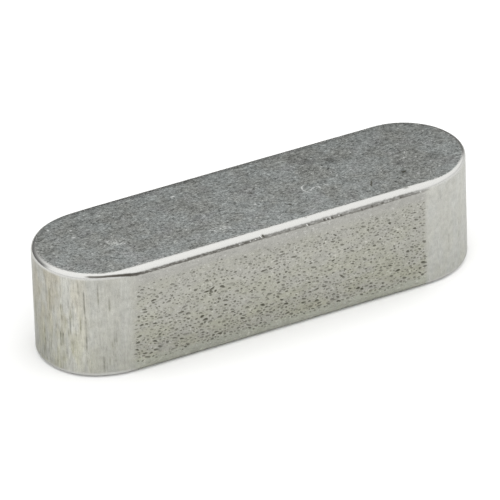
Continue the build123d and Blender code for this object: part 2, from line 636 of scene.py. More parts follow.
# ---------------------------------------------------------------------------
# 3. the broad faces, with shallow knocks and scratches
# ---------------------------------------------------------------------------
def face_dents(seed, scratches, knocks, clusters, count):
    r = np.random.default_rng(seed)
    m = Mask(-HX, HX, -HY, HY, 80)
    bowls = []
    grooves = [Groove(curve(path), half, depth, dark, light) for path, half, depth, dark, light in scratches]
    for g in grooves:
        m.block(g.path, g.half + 0.03)

    def put(c, a, b, ang, depth, dark, light, wob=0.12):
        if math.hypot(max(abs(c[0]) - CX, 0), c[1]) + a > HY - RB - 0.03 or abs(c[1]) + a > HY - RB - 0.02:
            return
        n = 7 if a < 0.10 else 10
        poly = bowl_outline(c, a, b, ang, n, r, wob)
        if m.take(poly, 0.020):
            bowls.append((poly, depth, np.zeros(2), dark, light))

    for kn in knocks:
        put(*kn)
    for cx, cy, rx, ry, ang, n, dark, light in clusters:
        for _ in range(n):
            q, w = r.normal(0, 0.5, 2) * (rx, ry)
            put((cx + q * math.cos(ang) - w * math.sin(ang), cy + q * math.sin(ang) + w * math.cos(ang)),
                r.uniform(0.06, 0.13), r.uniform(0.035, 0.065), ang + r.normal(0, 0.5), r.uniform(0.002, 0.005),
                dark * r.uniform(0.6, 1.0), light * r.uniform(0.5, 1.0))
    for _ in range(count):
        u, v = r.uniform(-HX, HX), r.uniform(-HY, HY)
        size = r.lognormal(math.log(0.050), 0.35)
        asp = r.uniform(1.0, 2.4)
        kind = r.uniform()
        dark, light = (r.uniform(0.2, 0.8), 0.0) if kind < 0.5 else (0.0, r.uniform(0.15, 0.6))
        put((u, v), min(size * math.sqrt(asp), 0.16), max(size / math.sqrt(asp), 0.03),
            r.uniform(0, math.pi), r.uniform(0.001, 0.004), dark, light)
    return bowls, grooves


TOP_SCRATCHES = [
    # path, half width, depth, dark, light: a curved scuff with a tick beside it, and a few short ones
    ([(3.43, -0.33), (3.22, -0.45), (3.10, -0.67), (3.09, -0.92), (3.20, -1.15), (3.40, -1.38)], 0.048, 0.004, 0.0, 0.62),
    ([(3.43, -1.20), (3.53, -1.03), (3.67, -0.93), (3.90, -0.90), (4.10, -0.94), (4.08, -1.18)], 0.046, 0.004, 0.0, 0.62),
    ([(9.05, -2.86), (9.30, -2.66)], 0.024, 0.003, 0.0, 0.35),
    ([(11.40, -0.60), (11.70, -0.53)], 0.028, 0.003, 0.0, 0.35),
    ([(12.60, -0.38), (12.85, -0.26)], 0.026, 0.003, 0.0, 0.35),
    ([(10.30, 1.08), (10.60, 1.15)], 0.024, 0.003, 0.0, 0.30),
    ([(5.2, -0.55), (5.4, -0.47)], 0.028, 0.003, 0.0, 0.45),
    ([(-9.6, -1.8), (-9.15, -2.10)], 0.026, 0.003, 0.0, 0.5),
    ([(-6.9, 0.35), (-6.4, 0.62)], 0.022, 0.003, 0.0, 0.45),
    ([(0.35, -3.0), (0.75, -2.7)], 0.024, 0.003, 0.0, 0.5),
    # a dark nick and its fainter tail
    ([(7.10, -1.91), (7.00, -2.10), (6.88, -2.30), (6.78, -2.50)], 0.060, 0.008, 1.0, 0.0),
    ([(6.52, -2.86), (6.42, -3.06)], 0.034, 0.006, 0.8, 0.0),
]
TOP_KNOCKS = [
    # centre, half sizes, angle, depth, dark, light
    ((1.67, -1.93), 0.100, 0.095, 0.2, 0.010, 1.0, 0.0),
    ((3.68, -0.53), 0.09, 0.060, 0.2, 0.006, 0.9, 0.0),
    ((4.67, -1.36), 0.07, 0.045, 0.0, 0.005, 0.8, 0.0),
    ((4.70, -0.50), 0.07, 0.045, 0.4, 0.005, 0.8, 0.0),
    ((-3.13, -2.33), 0.10, 0.045, 0.3, 0.003, 0.0, 0.8),
    ((5.87, -0.66), 0.05, 0.040, 0.0, 0.003, 0.0, 0.7),
    ((9.60, -1.47), 0.06, 0.040, 0.0, 0.003, 0.0, 0.7),
    ((12.75, 1.27), 0.06, 0.040, 0.0, 0.003, 0.0, 0.7),
    ((12.60, -1.10), 0.06, 0.040, 0.0, 0.003, 0.0, 0.7),
    ((11.40, -2.50), 0.06, 0.040, 0.0, 0.003, 0.0, 0.6),
    ((10.67, -2.77), 0.06, 0.040, 0.0, 0.003, 0.0, 0.6),
    ((4.40, 0.60), 0.05, 0.040, 0.0, 0.003, 0.0, 0.6),
    ((9.26, -1.96), 0.17, 0.085, 0.1, 0.008, 1.0, 0.0),
    ((-10.91, 1.90), 0.085, 0.065, 0.0, 0.005, 0.0, 1.0),
    ((-10.62, 2.02), 0.070, 0.035, 0.3, 0.003, 0.0, 0.6),
    ((5.62, -0.30), 0.060, 0.045, 0.0, 0.004, 0.0, 0.9),
    ((-12.2, 0.9), 0.060, 0.050, 0.0, 0.004, 0.8, 0.0),
    ((0.2, 0.4), 0.12, 0.050, -0.2, 0.004, 0.9, 0.0),
]
TOP_CLUSTERS = [
    # centre, spreads, angle, how many, dark, light
    (6.10, 1.45, 0.40, 0.42, -0.25, 15, 0.95, 0.0),
    (4.85, 1.90, 0.60, 0.30, -0.3, 9, 0.60, 0.0),
    (9.32, -2.02, 0.34, 0.22, 0.0, 6, 0.80, 0.0),
    (9.42, -0.86, 0.30, 0.24, 0.4, 5, 0.55, 0.0),
    (-9.22, -0.70, 0.70, 0.55, 0.2, 12, 0.0, 0.55),
    (-3.15, -2.35, 0.70, 0.35, 0.1, 10, 0.0, 0.45),
    (-8.1, 2.2, 0.8, 0.40, 0.3, 9, 0.55, 0.0),
    (-12.0, -0.6, 0.5, 0.45, 0.9, 8, 0.50, 0.0),
    (-1.6, 1.9, 0.7, 0.35, 0.1, 8, 0.45, 0.0),
]
BOTTOM_SCRATCHES = [
    ([(-4.3, 0.6), (-3.9, 0.75), (-3.4, 0.78), (-3.0, 0.70)], 0.034, 0.004, 0.0, 0.8),
    ([(5.2, -1.1), (5.6, -0.8)], 0.028, 0.003, 0.0, 0.6),
    ([(-10.1, -1.4), (-9.3, -1.1)], 0.028, 0.003, 0.0, 0.5),
    ([(9.6, 1.6), (10.3, 1.75)], 0.026, 0.003, 0.0, 0.5),
]
BOTTOM_KNOCKS = [
    ((-7.4, -1.4), 0.15, 0.060, 0.7, 0.010, 0.9, 0.0),
    ((2.2, 1.7), 0.10, 0.060, 0.1, 0.008, 0.9, 0.0),
    ((8.4, 0.4), 0.12, 0.070, 1.9, 0.008, 0.8, 0.0),
]
BOTTOM_CLUSTERS = [
    (-2.0, -1.2, 0.6, 0.35, 0.2, 9, 0.6, 0.0),
    (6.4, 2.0, 0.7, 0.4, -0.2, 9, 0.0, 0.5),
]

tb = np.array(rings_top[0])
dents, scores = face_dents(303, TOP_SCRATCHES, TOP_KNOCKS, TOP_CLUSTERS, 320)
flat_patch(tb, all_co[tb][:, :2], dents, lambda q, d: np.stack([q[:, 0], q[:, 1], HT - d], 1), (0, 0, 1), scores)
bo = np.array(rings_bot[-1])[::-1]
bco = all_co[bo]
dents, scores = face_dents(404, BOTTOM_SCRATCHES, BOTTOM_KNOCKS, BOTTOM_CLUSTERS, 300)
flat_patch(bo, np.stack([-bco[:, 0], bco[:, 1]], 1), dents,
           lambda q, d: np.stack([-q[:, 0], q[:, 1], 0.0 + d], 1), (0, 0, -1), scores)

# ---------------------------------------------------------------------------
# 4. corner normals
# ---------------------------------------------------------------------------
co = np.vstack(G.co)
no = np.vstack(G.no)
pit = np.concatenate(G.pit)
mark = np.concatenate(G.mark)


def point_normals(points, quads):
    f = np.array(quads)
    a, b, c, d = (points[f[:, i]] for i in range(4))
    fn = np.cross(c - a, d - b)
    out = np.zeros_like(points)
    for i in range(4):
        np.add.at(out, f[:, i], fn)
    ln = np.linalg.norm(out, axis=1, keepdims=True)
    return out / np.where(ln > 0, ln, 1)


grid_faces = [f for f, m in zip(G.faces, G.fnorm) if m is None]
n_now = point_normals(co, grid_faces)
n_was = point_normals(np.vstack(G.plain), grid_faces)
used = np.linalg.norm(n_now, axis=1) > 0
rough_no = no + (n_now - n_was) * used[:, None]
rough_no /= np.linalg.norm(rough_no, axis=1, keepdims=True)
border = np.zeros(len(co), bool)
for ids in (rings_top[0], rings_bot[-1], np.array(front_border), np.array(back_border)):
    border[ids] = True
rough_no[border] = no[border]

faces = []
loop_n, loop_pit, loop_mark = [], [], []
for f, m in zip(G.faces, G.fnorm):
    faces.append(f)
    if m is None:
        loop_n.extend(rough_no[list(f)])
        loop_pit.extend(pit[list(f)])
        loop_mark.extend(mark[list(f)])
    else:
        loop_n.extend(m[:len(f)])
        loop_pit.extend([0.0] * len(f))
        loop_mark.extend([0.0] * len(f))
for parts, rim, nrm, rim_dark, rim_light in BOWL_FACES:
    acc = {}
    for f in parts:
        q = co[list(f)]
        if len(f) == 4:
            fn = np.cross(q[2] - q[0], q[3] - q[1])
        else:
            fn = np.cross(q[1] - q[0], q[2] - q[0])
        for i in f:
            acc[i] = acc.get(i, 0) + fn
    for i in acc:
        v = acc[i] / (np.linalg.norm(acc[i]) + 1e-20)
        if i in rim:
            v = v * 0.65 + nrm * 0.35
            v = v / np.linalg.norm(v)
        acc[i] = v
    for f in parts:
        faces.append(f)
        loop_n.extend(acc[i] for i in f)
        loop_pit.extend(rim_dark if i in rim else pit[i] for i in f)
        loop_mark.extend(rim_light if i in rim else mark[i] for i in f)

# the insets of the outline: everything is drawn in towards the axis in proportion
corner_of = np.concatenate([np.array(f) for f in faces])
foot, m, r, e, de = along_outline(co)
tangent = np.stack([-m[:, 1], m[:, 0]], 1)
loop_n = np.array(loop_n)
lean = (loop_n[:, :2] * m[corner_of]).sum(1) * de[corner_of]
loop_n[:, :2] += tangent[corner_of] * lean[:, None]
loop_n /= np.linalg.norm(loop_n, axis=1, keepdims=True)
co[:, :2] = foot + m * (r * (1 - e / HY))[:, None]

mesh = bpy.data.meshes.new("key_body")
mesh.from_pydata([tuple(p) for p in (co + [0, 0, Z0]) * MM], [], faces)
mesh.update()
for name, data in (("pit", loop_pit), ("mark", loop_mark)):
    att = mesh.attributes.new(name, "FLOAT", "CORNER")
    att.data.foreach_set("value", np.array(data, np.float32))
mesh.polygons.foreach_set("use_smooth", [True] * len(mesh.polygons))
if mesh.validate(verbose=False):
    print("key_body: the mesh had to be repaired")
mesh.normals_split_custom_set([tuple(v) for v in loop_n])
key = bpy.data.objects.new("key_body", mesh)
bpy.context.scene.collection.objects.link(key)
tris = sum(len(p.vertices) - 2 for p in mesh.polygons)
print("key_body:", len(mesh.vertices), "points,", tris, "triangles")


# ---------------------------------------------------------------------------
# 5. the steel
# ---------------------------------------------------------------------------
class Nodes:
    """Short hand for a shader's nodes."""

    def __init__(self, tree):
        self.t = tree
        self.x = 0

    def new(self, kind, **kw):
        n = self.t.nodes.new(kind)
        self.x += 40
        n.location = (self.x, 0)
        for k, v in kw.items():
            setattr(n, k, v)
        return n

    def put(self, sock, v):
        if hasattr(v, "links"):
            self.t.links.new(v, sock)
        else:
            sock.default_value = v

    def math(self, op, a, b=None, c=None, clamp=False):
        n = self.new("ShaderNodeMath", operation=op, use_clamp=clamp)
        for s, v in zip(n.inputs, (a, b, c)):
            if v is not None:
                self.put(s, v)
        return n.outputs[0]

    def ramp(self, v, a, b, lo=0.0, hi=1.0):
        """Smooth step of v from a to b, giving lo to hi."""
        n = self.new("ShaderNodeMapRange", interpolation_type="SMOOTHSTEP")
        self.put(n.inputs["Value"], v)
        n.inputs["From Min"].default_value = a
        n.inputs["From Max"].default_value = b
        n.inputs["To Min"].default_value = lo
        n.inputs["To Max"].default_value = hi
        return n.outputs[0]

    def line(self, v, a, b, lo=0.0, hi=1.0):
        n = self.new("ShaderNodeMapRange", interpolation_type="LINEAR")
        self.put(n.inputs["Value"], v)
        n.inputs["From Min"].default_value = a
        n.inputs["From Max"].default_value = b
        n.inputs["To Min"].default_value = lo
        n.inputs["To Max"].default_value = hi
        return n.outputs[0]

    def noise(self, vec, scale, detail=2.0, rough=0.5, dist=0.0, stretch=None, offset=(0, 0, 0)):
        if stretch is not None or offset != (0, 0, 0):
            m = self.new("ShaderNodeMapping")
            self.put(m.inputs["Vector"], vec)
            m.inputs["Location"].default_value = offset
            m.inputs["Scale"].default_value = stretch or (1, 1, 1)
            vec = m.outputs[0]
        n = self.new("ShaderNodeTexNoise")
        self.put(n.inputs["Vector"], vec)
        n.inputs["Scale"].default_value = scale
        n.inputs["Detail"].default_value = detail
        n.inputs["Roughness"].default_value = rough
        n.inputs["Distortion"].default_value = dist
        return n.outputs[0]

    def away(self, vec, centre, half):
        """How far a place is from a centre, counted in half sizes."""
        n = self.new("ShaderNodeVectorMath", operation="MULTIPLY_ADD")
        self.put(n.inputs[0], vec)
        n.inputs[1].default_value = [1 / h for h in half]
        n.inputs[2].default_value = [-c / h for c, h in zip(centre, half)]
        m = self.new("ShaderNodeVectorMath", operation="LENGTH")
        self.put(m.inputs[0], n.outputs[0])
        return m.outputs["Value"]

    def along(self, vec, way):
        n = self.new("ShaderNodeVectorMath", operation="DOT_PRODUCT")
        self.put(n.inputs[0], vec)
        n.inputs[1].default_value = way
        return n.outputs["Value"]

    def mix(self, f, a, b):
        """Mix of two numbers."""
        n = self.new("ShaderNodeMix", data_type="FLOAT")
        self.put(n.inputs[0], f)
        self.put(n.inputs[2], a)
        self.put(n.inputs[3], b)
        return n.outputs[0]

    def colour(self, f, a, b, blend="MIX"):
        n = self.new("ShaderNodeMix", data_type="RGBA", blend_type=blend)
        self.put(n.inputs[0], f)
        self.put(n.inputs[6], a)
        self.put(n.inputs[7], b)
        return n.outputs[2]

    def combine(self, x, y, z):
        n = self.new("ShaderNodeCombineXYZ")
        for s, v in zip(n.inputs, (x, y, z)):
            self.put(s, v)
        return n.outputs[0]

    def grey(self, v):
        n = self.new("ShaderNodeCombineColor")
        for s in n.inputs:
            self.put(s, v)
        return n.outputs[0]


def steel():
    mat = bpy.data.materials.new("bright_drawn_steel")
    mat.use_nodes = True
    t = mat.node_tree
    t.nodes.clear()
    N = Nodes(t)
    out = N.new("ShaderNodeOutputMaterial")
    bsdf = N.new("ShaderNodeBsdfPrincipled")
    t.links.new(bsdf.outputs[0], out.inputs[0])
    bsdf.inputs["Metallic"].default_value = 1.0
    bsdf.inputs["Specular Tint"].default_value = (0.70, 0.70, 0.69, 1)

    tc = N.new("ShaderNodeTexCoord")
    sc = N.new("ShaderNodeVectorMath", operation="SCALE")
    t.links.new(tc.outputs["Object"], sc.inputs[0])
    sc.inputs["Scale"].default_value = 1 / MM
    P = sc.outputs[0]
    sep = N.new("ShaderNodeSeparateXYZ")
    t.links.new(P, sep.inputs[0])
    X, Y, Z = sep.outputs
    zz = N.math("SUBTRACT", Z, Z0 + HT / 2)
    az = N.math("ABSOLUTE", zz)                      # height from the middle
    ax, ay = N.math("ABSOLUTE", X), N.math("ABSOLUTE", Y)
    att = N.new("ShaderNodeAttribute", attribute_name="pit")
    pit_a = att.outputs["Fac"]
    att2 = N.new("ShaderNodeAttribute", attribute_name="mark")
    mark_a = att2.outputs["Fac"]

    def centred(v, k):
        return N.math("MULTIPLY", N.math("SUBTRACT", v, 0.5), k)

    def total(*vs):
        t_ = vs[0]
        for v in vs[1:]:
            t_ = N.math("ADD", t_, v)
        return t_

    def tails(v, k):
        """Noise with its extremes drawn out."""
        c = N.math("SUBTRACT", v, 0.5)
        return N.math("MULTIPLY", N.math("MULTIPLY", c, N.math("ABSOLUTE", c)), k)

    # --- where each finish is ---
    edge_n = N.noise(P, 2.2, 2.0, 0.6, offset=(6, 1, 3))
    # the burnished corners eat a little, unevenly, into the grey of the broad faces
    ex0 = N.math("MAXIMUM", N.math("SUBTRACT", ax, CX), 0.0)
    out_r = N.math("SQRT", N.math("ADD", N.math("MULTIPLY", ex0, ex0), N.math("MULTIPLY", Y, Y)))
    inside = N.math("SUBTRACT", HY - RB, N.math("SUBTRACT", out_r, N.ramp(ax, CX - 0.6, CX + 1.4, 0.0, RB - RE)))
    eat = N.noise(P, 3.4, 2.0, 0.7, offset=(16, 11, 3))
    nibble = N.ramp(N.math("SUBTRACT", inside, N.ramp(eat, 0.46, 0.72, 0.0, 0.17)), -0.03, 0.03)
    broad = N.math("MULTIPLY", N.ramp(az, HT / 2 - 0.022, HT / 2 - 0.012), nibble)
    ax_r = N.math("ADD", ax, N.math("MULTIPLY", N.math("SUBTRACT", edge_n, 0.5), 0.22))
    turned = N.math("MULTIPLY", X, N.math("SIGN", Y))      # the same way round on both flanks
    soft_side = N.ramp(total(turned, centred(edge_n, 0.4), N.line(zz, -3.0, 3.0, -0.12, 0.16)), 9.40, 10.20)
    # the drawn skin stops a little short of the ends, sharply at one and softly at the other
    end_x = N.math("MAXIMUM", soft_side, N.math("MULTIPLY", N.ramp(ax_r, 9.44, 9.80), N.ramp(turned, -1.0, 1.0, 1.0, 0.0)))
    low_side = N.ramp(zz, HT / 2 - RB - 0.01, HT / 2 - RB + 0.05, 1.0, 0.0)   # 1 below the upper roundings
    side = N.mix(end_x, low_side, N.ramp(az, HT / 2 - RE - 0.10, HT / 2 - RE + 0.10, 1.0, 0.0))

    # position round an end, and up it, for streaks
    ex = N.math("MAXIMUM", N.math("SUBTRACT", ax, CX), 0.0001)
    arc = N.math("MULTIPLY", N.math("ARCTAN2", Y, ex), HY)
    arc = N.math("ADD", arc, N.math("MULTIPLY", N.math("MINIMUM", N.math("SUBTRACT", ax, CX), 0.0), N.math("MULTIPLY", N.math("SIGN", Y), -1.0)))
    sx = N.math("SIGN", X)
    E = N.combine(arc, N.math("MULTIPLY", sx, 31.0), Z)

    # --- noises ---
    fine = N.noise(P, 4.6, 3.0, 0.68, offset=(3, 8, 1))
    fine2 = N.noise(P, 9.0, 2.0, 0.6, offset=(13, 2, 7))
    speck = N.noise(P, 5.2, 1.0, 0.5, stretch=(0.8, 1.15, 1.0), offset=(23, 2, 7))
    speck2 = N.noise(P, 5.6, 1.0, 0.5, stretch=(0.8, 1.15, 1.0), offset=(5, 32, 7))
    blot = N.noise(P, 1.3, 3.0, 0.6, offset=(7, 7, 3))
    blot2 = N.noise(P, 0.55, 2.0, 0.6, offset=(17, 3, 3))
    wide = N.noise(P, 0.28, 2.0, 0.5, offset=(1, 4, 9))
    tint_n = N.noise(P, 0.75, 2.0, 0.5, offset=(31, 4, 9))
    grit = N.noise(P, 7.0, 1.0, 0.5, stretch=(0.75, 1.1, 1.1), offset=(3, 42, 7))
    drawn = N.noise(P, 1.0, 3.0, 0.6, stretch=(0.9, 7.0, 7.0), offset=(2, 5, 1))
    drawn_fine = N.noise(P, 1.0, 2.0, 0.6, stretch=(4.0, 12.0, 12.0), offset=(9, 5, 1))
    skin = N.noise(P, 1.0, 3.0, 0.6, stretch=(1.6, 2.6, 2.6), offset=(4, 9, 2))

    # --- broad faces: scuffed grey grain ---
    g = total(1.0, centred(fine, 1.35), tails(fine, 4.0), centred(fine2, 1.25), tails(fine2, 4.0), centred(blot, 0.68), centred(blot2, 0.56))
    g = N.math("ADD", g, N.ramp(speck, 0.60, 0.74, 0.0, 0.30))
    g = N.math("SUBTRACT", g, N.ramp(speck2, 0.60, 0.74, 0.0, 0.30))
    top_v = N.math("MULTIPLY", N.math("MULTIPLY", g, 0.357), N.line(X, -13.0, 13.0, 1.038, 0.918))
    top_v = N.math("MULTIPLY", top_v, N.math("MULTIPLY", N.line(Y, 0.2, 1.8, 1.020, 0.945), N.line(Y, 2.3, 3.0, 1.0, 1.02)))
    top_v = N.math("MULTIPLY", top_v, N.line(Y, -1.6, -0.2, 1.018, 1.0))
    top_v = N.math("MULTIPLY", top_v, N.math("MULTIPLY", N.line(X, -6.0, -2.0, 0.974, 1.020), N.line(X, 5.5, 8.0, 1.0, 0.980)))
    # painted shade: a thin darker line just inside the back corner
    back_edge_shade = N.math("MULTIPLY", N.ramp(inside, 0.04, 0.10), N.ramp(inside, 0.20, 0.34, 1.0, 0.0))
    back_edge_shade = N.math("MULTIPLY", N.math("MULTIPLY", back_edge_shade, N.ramp(Y, 0.8, 2.4)), N.ramp(eat, 0.35, 0.6, 0.13, 0.24))
    top_v = N.math("MULTIPLY", top_v, N.math("SUBTRACT", 1.0, back_edge_shade))
    top_v = N.math("MAXIMUM", top_v, 0.08)
    # stains and worn patches: place, half sizes, turn, how much darker
    STAINS = [
        (6.10, 1.45, 0.38, 0.46, -0.25, 0.56), (4.85, 1.90, 0.62, 0.30, -0.30, 0.24), (9.22, -1.92, 0.26, 0.22, 0.0, 0.60),
        (9.42, -0.86, 0.30, 0.26, 0.4, 0.30), (0.25, 0.42, 0.50, 0.18, -0.2, 0.30), (-9.22, -0.70, 0.95, 0.55, 0.2, -0.30),
        (-3.15, -2.35, 0.85, 0.42, 0.1, -0.24), (-11.9, -1.9, 1.2, 0.30, -0.75, 0.20), (-10.2, 2.3, 1.1, 0.4, 0.3, 0.18),
        (11.6, -1.2, 0.9, 0.4, 0.3, 0.16),
    ]
    worn = 0.0
    for cx, cy, rx, ry, turn, k in STAINS:
        c_, s_ = math.cos(turn), math.sin(turn)
        there = N.combine(N.along(P, (c_, s_, 0.0)), N.along(P, (-s_, c_, 0.0)), Z)
        gap = N.away(there, (c_ * cx + s_ * cy, -s_ * cx + c_ * cy, Z0 + HT), (rx, ry, 1.0))
        worn = total(worn, N.ramp(gap, 0.25, 1.25, k, 0.0))
    worn = N.math("MULTIPLY", worn, N.ramp(fine, 0.40, 0.56, 0.35, 1.0))
    top_v = N.math("MULTIPLY", top_v, N.math("SUBTRACT", 1.0, worn))
    top_c = N.colour(N.ramp(blot2, 0.36, 0.64), (0.975, 1.0, 0.945, 1), (0.948, 1.0, 0.975, 1))
    top_c = N.colour(N.ramp(tint_n, 0.52, 0.70, 0.0, 0.45), top_c, (0.985, 0.99, 0.985, 1))
    top_col = N.colour(1.0, N.grey(top_v), top_c, "MULTIPLY")

    # --- flanks ---
    fv = total(1.0, centred(drawn, 0.16), centred(drawn_fine, 0.26), centred(fine, 0.34), centred(skin, 0.34), centred(wide, 0.10),
               N.ramp(grit, 0.60, 0.74, 0.0, 0.16), N.ramp(speck2, 0.62, 0.76, 0.0, -0.18))
    flank_v = N.math("MULTIPLY", N.line(Z, 1.2, 4.6, 0.352, 0.372), fv)
    flank_v = N.math("MULTIPLY", flank_v, N.line(Z, 4.4, 6.1, 1.0, 0.948))
    flank_v = N.math("MULTIPLY", flank_v, N.ramp(Z, 6.30, 6.55, 1.0, 1.045))
    flank_v = N.math("MULTIPLY", flank_v, N.line(turned, -9.0, -3.0, 0.975, 1.0))
    mid_left = N.math("MULTIPLY", N.ramp(turned, -7.5, -2.5, 1.0, 0.0), N.math("MULTIPLY", N.ramp(Z, 3.0, 3.9), N.ramp(Z, 4.6, 5.5, 1.0, 0.0)))
    flank_v = N.math("MULTIPLY", flank_v, N.math("SUBTRACT", 1.0, N.math("MULTIPLY", mid_left, 0.032)))
    low_right = N.math("MULTIPLY", N.ramp(turned, 2.5, 6.0), N.ramp(Z, 1.6, 2.7, 1.0, 0.0))
    flank_v = N.math("MULTIPLY", flank_v, N.math("SUBTRACT", 1.0, N.math("MULTIPLY", low_right, 0.034)))
    # the margin under the pits is a little paler, most of all at the corners
    foot = N.ramp(Z, 0.75, 1.35, 1.0, 0.0)
    flank_v = N.math("MULTIPLY", flank_v, N.math("ADD", 1.0, N.math("MULTIPLY", foot, N.ramp(ax, 8.2, 9.4, 0.042, 0.17))))
    olive_n = N.noise(P, 0.75, 3.0, 0.6, stretch=(0.7, 1.0, 1.5), offset=(4, 1, 6))
    olive = N.math("MULTIPLY", N.ramp(olive_n, 0.34, 0.66, 0.15, 0.92), N.line(Z, 0.6, 5.8, 1.0, 0.30))
    flank_t = N.colour(olive, (1.0, 0.99, 0.91, 1), (0.965, 0.965, 0.78, 1))
    flank_t = N.colour(N.ramp(Z, 5.7, 6.3), flank_t, (1.0, 0.99, 0.925, 1))
    flank_t = N.colour(N.ramp(Z, 0.70, 0.95, 0.75, 0.0), flank_t, (0.962, 0.985, 0.86, 1))
    flank_col = N.colour(1.0, N.grey(flank_v), flank_t, "MULTIPLY")
    flank_col = N.colour(N.ramp(grit, 0.62, 0.76, 0.0, 0.22), flank_col, (0.60, 0.60, 0.585, 1))

    # --- round ends: streaks up the height ---
    st1 = N.noise(E, 1.0, 3.0, 0.65, stretch=(9.0, 1.0, 1.15), offset=(1, 0, 2))
    st2 = N.noise(E, 1.0, 2.0, 0.55, stretch=(3.2, 1.0, 0.50), offset=(21, 0, 5))
    st3 = N.noise(E, 1.0, 2.0, 0.6, stretch=(6.0, 1.0, 0.8), offset=(41, 0, 9))
    warm_n = N.noise(E, 1.0, 2.0, 0.6, stretch=(1.1, 1.0, 0.35), offset=(5, 0, 3))
    leftness = N.ramp(X, -HX + 0.1, -CX - 1.3, 1.0, 0.0)
    is_left = N.ramp(X, -9.0, 9.0, 1.0, 0.0)
    k_st = N.math("ADD", 0.43, N.math("MULTIPLY", is_left, 1.03))
    ev = total(centred(st1, 0.62), centred(st2, 0.26), centred(st3, 0.26))
    calm = N.ramp(N.math("ABSOLUTE", arc), 3.2, 4.4, 1.0, 0.55)
    ev = N.math("ADD", 1.0, N.math("MULTIPLY", N.math("MULTIPLY", ev, k_st), calm))
    mott = N.noise(P, 3.0, 3.0, 0.65, offset=(8, 14, 9))
    ev = N.math("ADD", ev, centred(mott, 0.50))
    cloud = N.noise(P, 0.8, 2.0, 0.5, offset=(18, 24, 9))
    ev = N.math("ADD", ev, centred(cloud, 0.16))
    aarc = N.math("ABSOLUTE", arc)
    base_l = N.math("MULTIPLY", N.line(aarc, 3.2, 5.4, 0.448, 0.406), N.line(aarc, 0.9, 2.5, 0.905, 1.02))
    base_l = N.math("MULTIPLY", base_l, N.line(Z, 0.8, 4.2, 0.972, 1.0))
    base_l = N.math("MULTIPLY", base_l, N.math("MULTIPLY", N.line(aarc, 2.65, 3.0, 1.0, 1.045), N.line(aarc, 3.2, 3.7, 1.0, 0.902)))
    base_l = N.math("MULTIPLY", base_l, N.line(aarc, 4.3, 6.1, 1.0, 1.045))
    base_r = N.math("MULTIPLY", N.line(aarc, 3.2, 4.2, 0.532, 0.466), N.line(Z, 0.8, 6.2, 0.968, 1.026))
    base_r = N.math("MULTIPLY", base_r, N.line(aarc, 4.2, 5.6, 1.0, 0.912))
    base_r = N.math("MULTIPLY", base_r, N.math("MULTIPLY", N.line(aarc, 3.3, 3.6, 1.0, 0.970), N.line(aarc, 4.4, 5.2, 1.0, 1.012)))
    base_r = N.math("MULTIPLY", base_r, N.line(aarc, 5.5, 6.1, 1.0, 1.035))
    end_v = N.math("MULTIPLY", ev, N.mix(is_left, base_r, base_l))
    low_down = N.line(Z, 1.0, 5.0, 1.0, 0.0)
    stain = N.colour(low_down, (0.952, 0.914, 0.775, 1), (0.935, 0.925, 0.745, 1))
    end_t = N.colour(N.math("MULTIPLY", N.ramp(warm_n, 0.36, 0.60), N.math("ADD", 0.22, N.math("MULTIPLY", leftness, 0.78))),
                     N.colour(is_left, (0.996, 1.004, 0.948, 1), (0.998, 1.0, 0.924, 1)), stain)
    end_col = N.colour(1.0, N.grey(end_v), end_t, "MULTIPLY")
    # soiled patches between the streaks of one end: way round, height, half sizes, strength
    soiled = 0.0
    for q_, z_, a_, b_, k in (
        (0.58, 2.10, 0.12, 0.80, 0.75), (0.16, 4.90, 0.10, 0.35, 0.60), (1.97, 2.40, 0.16, 0.62, 0.80),
        (2.05, 4.35, 0.11, 0.75, 0.70), (2.66, 4.05, 0.13, 0.50, 0.85), (2.50, 2.95, 0.11, 0.35, 0.70),
        (1.17, 5.00, 0.12, 0.60, 0.60), (1.80, 5.40, 0.10, 0.30, 0.60), (1.05, 1.50, 0.14, 1.00, 0.60),
        (3.25, 3.65, 0.07, 0.75, 0.55), (4.38, 5.40, 0.07, 0.42, 0.55), (5.05, 4.90, 0.06, 0.45, 0.40),
        (5.30, 2.20, 0.30, 0.40, 0.35), (4.90, 1.05, 0.30, 0.30, 0.30), (2.30, 3.60, 0.10, 0.60, 0.50),
        (1.35, 2.60, 0.22, 0.55, 0.40), (2.72, 1.90, 0.10, 0.60, 0.50), (3.00, 2.20, 0.08, 0.55, 0.45),
        (0.40, 1.20, 0.18, 0.80, 0.60), (-0.60, 3.20, 0.25, 1.20, 0.60), (-1.80, 2.20, 0.22, 1.00, 0.60),
        (-3.20, 4.20, 0.20, 0.90, 0.50),
    ):
        gap = N.away(E, (-q_, -31.0, z_ + Z0), (a_, 8.0, b_))
        soiled = N.math("MAXIMUM", soiled, N.ramp(gap, 0.35, 1.30, k, 0.0))
    soiled = N.math("MULTIPLY", soiled, N.ramp(st1, 0.34, 0.60, 1.15, 0.30), clamp=True)
    end_col = N.colour(soiled, end_col, N.colour(1.0, end_col, (0.64, 0.645, 0.53, 1), "MULTIPLY"))

    # --- drawn corners and tumbled rims: burnished ---
    rv = N.math("MULTIPLY", N.line(X, -6.0, 6.0, 0.537, 0.526), total(1.0, centred(drawn_fine, 0.06), centred(drawn, 0.05)))
    round_col = N.colour(1.0, N.grey(rv), (1.0, 1.0, 0.965, 1), "MULTIPLY")

    col = N.colour(side, round_col, N.colour(end_x, flank_col, end_col))
    col = N.colour(broad, col, top_col)
